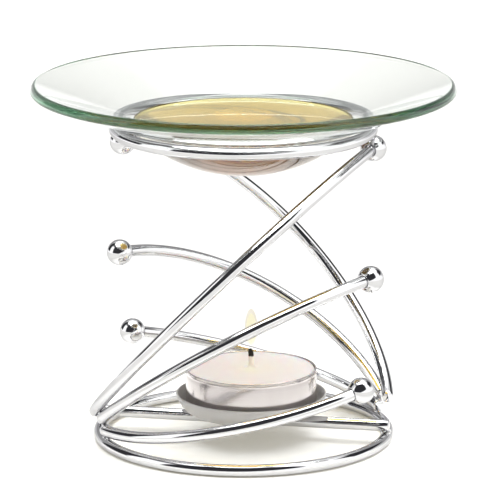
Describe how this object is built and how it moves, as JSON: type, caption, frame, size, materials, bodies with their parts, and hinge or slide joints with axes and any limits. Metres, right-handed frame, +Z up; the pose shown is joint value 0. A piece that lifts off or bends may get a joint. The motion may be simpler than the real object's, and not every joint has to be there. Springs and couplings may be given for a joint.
{
  "type": "oil warmer",
  "caption": "Tealight oil warmer: welded chrome wire frame of ball-ended curved arms, tray for a tealight below and a loose clear glass oil dish on a ring above.",
  "frame": {"origin": "centre of the base ring on the table plane, under the middle of the dish", "axes": "+Z up; -Y is the front, from where the picture looks; +X right; the left-hand arms start at -X and sweep round the front"},
  "size_m": [0.123, 0.123, 0.1059],
  "materials": {
    "chrome_wire": "bright plated wire",
    "chrome_ball": "bright plated ball",
    "tray_metal": "satin pressed sheet",
    "clear_glass": "clear, green at the edge",
    "oil": "clear yellow liquid",
    "foil": "drawn aluminium, softly bright",
    "wax": "cream wax",
    "wick": "cotton cord, charred at the top",
    "tinned_steel": "thin tinned sheet"
  },
  "bodies": {
    "frame": {"base_ring": "chrome_wire", "cross_bar": "chrome_wire", "dish_ring": "chrome_wire", "tealight_tray": "tray_metal", "left_low_arm": "chrome_wire", "left_middle_arm": "chrome_wire", "left_tall_arm": "chrome_wire", "right_low_arm": "chrome_wire", "right_middle_arm": "chrome_wire", "right_tall_arm": "chrome_wire", "left_low_ball": "chrome_ball", "left_middle_ball": "chrome_ball", "left_tall_ball": "chrome_ball", "right_low_ball": "chrome_ball", "right_middle_ball": "chrome_ball", "right_tall_ball": "chrome_ball"},
    "dish": {"glass_dish": "clear_glass", "oil_fill": "oil"},
    "tealight": {"tealight_cup": "foil", "tealight_wax": "wax", "tealight_wick": "wick", "wick_sustainer": "tinned_steel"}
  },
  "joints": [
    {"name": "dish_lift", "type": "slide", "parent": "frame", "child": "dish", "axis": [0, 0, 1], "range_m": [0, 0.06]},
    {"name": "tealight_lift", "type": "slide", "parent": "frame", "child": "tealight", "axis": [0, 0, 1], "range_m": [0, 0.036]}
  ]
}
